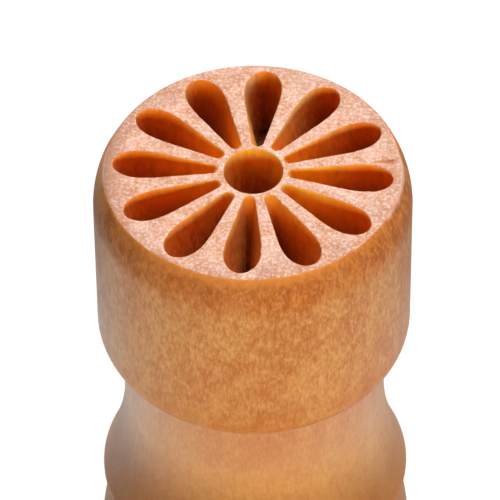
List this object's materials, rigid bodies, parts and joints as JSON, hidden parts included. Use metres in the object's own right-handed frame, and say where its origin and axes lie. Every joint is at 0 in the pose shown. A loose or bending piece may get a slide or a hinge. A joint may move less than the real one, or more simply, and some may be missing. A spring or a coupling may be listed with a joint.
{
  "type": "stamping tool",
  "caption": "Turned wooden hand stamp: a round head whose end face carries a recessed flower pattern, on a waisted handle with a rounded knob, for pressing the pattern into a soft material.",
  "frame": {"origin": "centre of the flat butt that the stamp stands on", "axes": "+Z along the turning axis, towards the stamping face; +X through the middle of one petal of the pattern"},
  "size_m": [0.0256, 0.0256, 0.055],
  "materials": {
    "head_wood": "satin bare hardwood, pale end grain on the stamping face",
    "handle_wood": "satin bare hardwood",
    "dowel_wood": "plain hardwood dowel"
  },
  "bodies": {
    "root": {"stamp_head": "head_wood", "handle": "handle_wood", "joining_dowel": "dowel_wood"}
  },
  "joints": []
}
